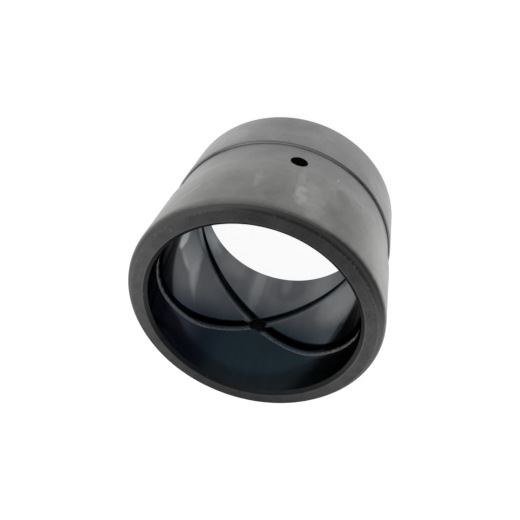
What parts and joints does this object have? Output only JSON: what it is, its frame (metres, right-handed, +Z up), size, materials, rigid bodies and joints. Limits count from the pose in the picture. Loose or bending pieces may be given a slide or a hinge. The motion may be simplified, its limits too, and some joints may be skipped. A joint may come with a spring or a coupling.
{
  "type": "pin bushing",
  "caption": "Plain steel sleeve bushing for a pivot pin, with chamfered ends, a grease channel round the outside, crossed grease grooves in the bore and oil holes through the wall.",
  "frame": {"origin": "centre of the lower end face", "axes": "+Z up along the bore axis; +X points to the groove crossing that the first oil hole feeds"},
  "size_m": [0.085, 0.085, 0.067],
  "materials": {
    "steel": "dull ground outside, dark heat-treated end faces and bore, light handling marks"
  },
  "bodies": {
    "root": {"bushing": "steel"}
  },
  "joints": []
}
